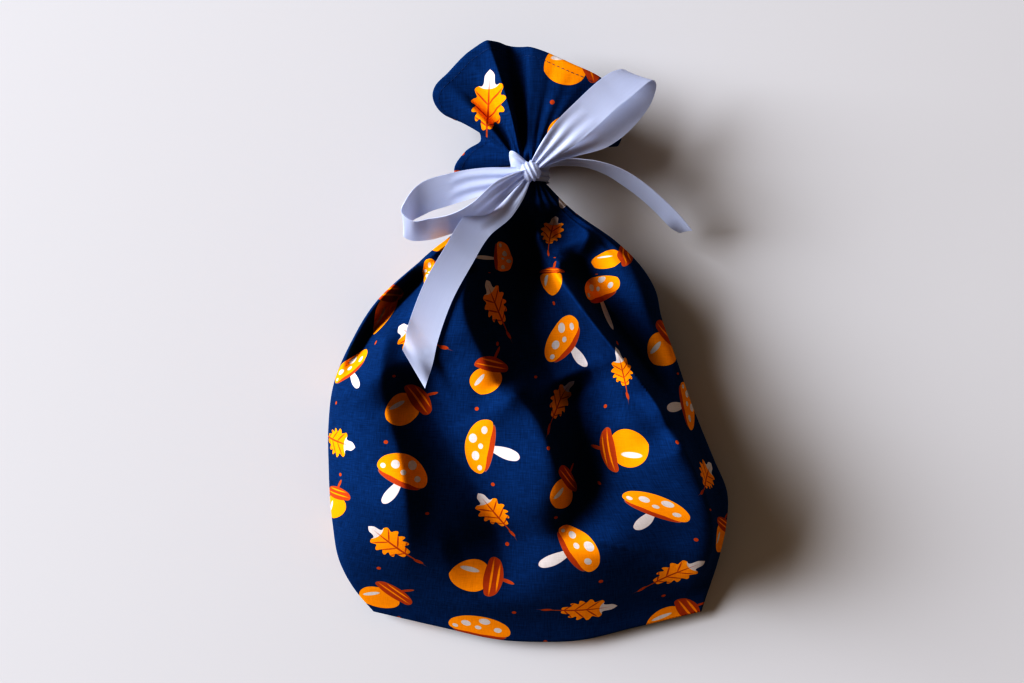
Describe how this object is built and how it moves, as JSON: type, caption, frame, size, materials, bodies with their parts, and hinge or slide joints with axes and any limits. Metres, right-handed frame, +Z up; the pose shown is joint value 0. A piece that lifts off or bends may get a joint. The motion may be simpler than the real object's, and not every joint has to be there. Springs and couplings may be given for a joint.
{
  "type": "ribbon-tied drawstring pouch",
  "caption": "Filled printed cotton pouch lying on its back, its gathered neck tied with a white satin ribbon bow under a flared, hemmed collar.",
  "frame": {"origin": "under the middle of the whole object, on the surface that it rests on", "axes": "+Z up from the printed front, +Y from the bottom seam to the mouth, +X to the right as the front is seen"},
  "size_m": [0.2056, 0.3092, 0.0791],
  "materials": {
    "printed_cotton": "matte plain weave, navy ground with a printed autumn pattern in orange, cream and rust",
    "white_satin": "glossy satin weave, white with a cool lavender shade"
  },
  "bodies": {
    "root": {"pouch": "printed_cotton", "ribbon": "white_satin"}
  },
  "joints": []
}
